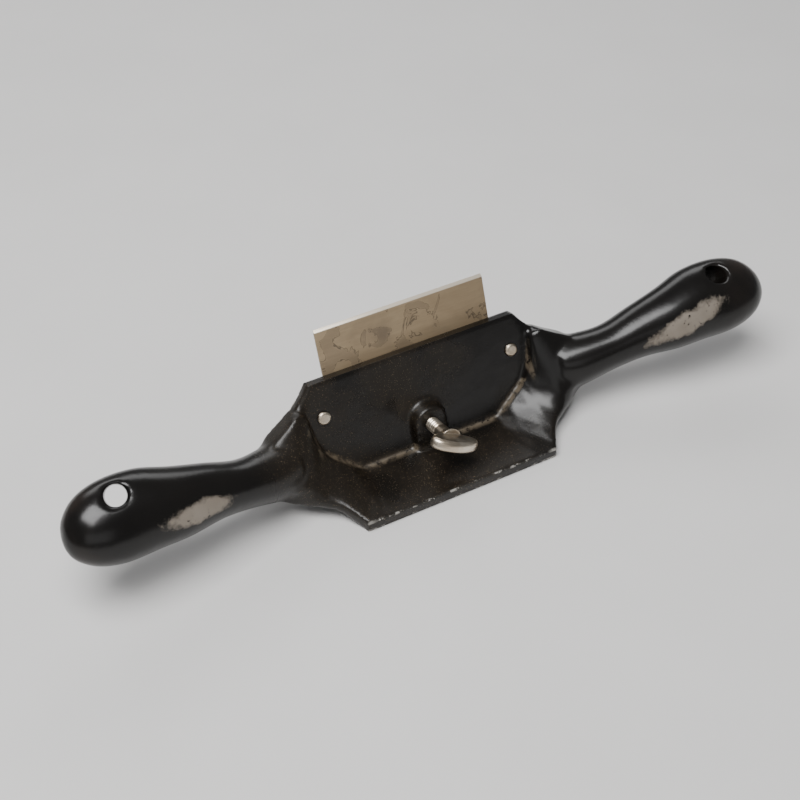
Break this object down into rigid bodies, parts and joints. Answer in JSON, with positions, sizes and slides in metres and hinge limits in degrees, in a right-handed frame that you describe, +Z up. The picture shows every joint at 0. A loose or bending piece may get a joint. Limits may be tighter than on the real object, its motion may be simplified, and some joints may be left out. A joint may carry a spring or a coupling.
{
  "type": "hand cabinet scraper",
  "caption": "Cast-iron hand cabinet scraper: two raised handles, a leaning steel blade, a clamp bar held by thumbscrews and a bowing thumbscrew.",
  "frame": {"origin": "on the sole, midway across, 5 mm behind the line where the bed plate's front face meets the sole", "axes": "+X along the handles to the right as the user holds it, +Y the way the tool is pushed, +Z up from the sole"},
  "size_m": [0.287, 0.0596, 0.0542],
  "materials": {
    "japanned_iron": "glossy black japanning, worn",
    "blade_steel": "satin, stained",
    "bar_iron": "glossy black japanning",
    "screw_nickel": "worn nickel plate"
  },
  "bodies": {
    "casting": {"body_casting": "japanned_iron", "handle_left": "japanned_iron", "handle_right": "japanned_iron"},
    "blade": {"scraper_blade": "blade_steel"},
    "bar": {"clamp_bar": "bar_iron"},
    "left_screw": {"clamp_screw_left": "screw_nickel"},
    "right_screw": {"clamp_screw_right": "screw_nickel"},
    "bow_screw": {"bowing_screw": "screw_nickel"}
  },
  "joints": [
    {"name": "blade_slide", "type": "slide", "parent": "casting", "child": "blade", "axis": [0, 0.3584, 0.9336], "range_m": [-0.001, 0.03]},
    {"name": "clamp_bar_slide", "type": "slide", "parent": "casting", "child": "bar", "axis": [0, 0.9336, -0.3584], "range_m": [0, 0.0038]},
    {"name": "clamp_screw_left_turn", "type": "hinge", "parent": "bar", "child": "left_screw", "pos_m": [-0.0398, 0.01468, 0.02521], "axis": [0, 0.9336, -0.3584], "range_deg": [-5, 1095]},
    {"name": "clamp_screw_right_turn", "type": "hinge", "parent": "bar", "child": "right_screw", "pos_m": [0.0398, 0.01468, 0.02521], "axis": [0, 0.9336, -0.3584], "range_deg": [-5, 1095]},
    {"name": "bowing_screw_turn", "type": "hinge", "parent": "casting", "child": "bow_screw", "pos_m": [0, 0.00966, 0.01214], "axis": [0, -0.9744, 0.225], "range_deg": [-180, 1080]}
  ],
  "couplings": [
    {"joint": "clamp_screw_left_turn", "follows": "clamp_bar_slide", "rad_per_m": 4947.4},
    {"joint": "clamp_screw_right_turn", "follows": "clamp_bar_slide", "rad_per_m": 4947.4}
  ]
}
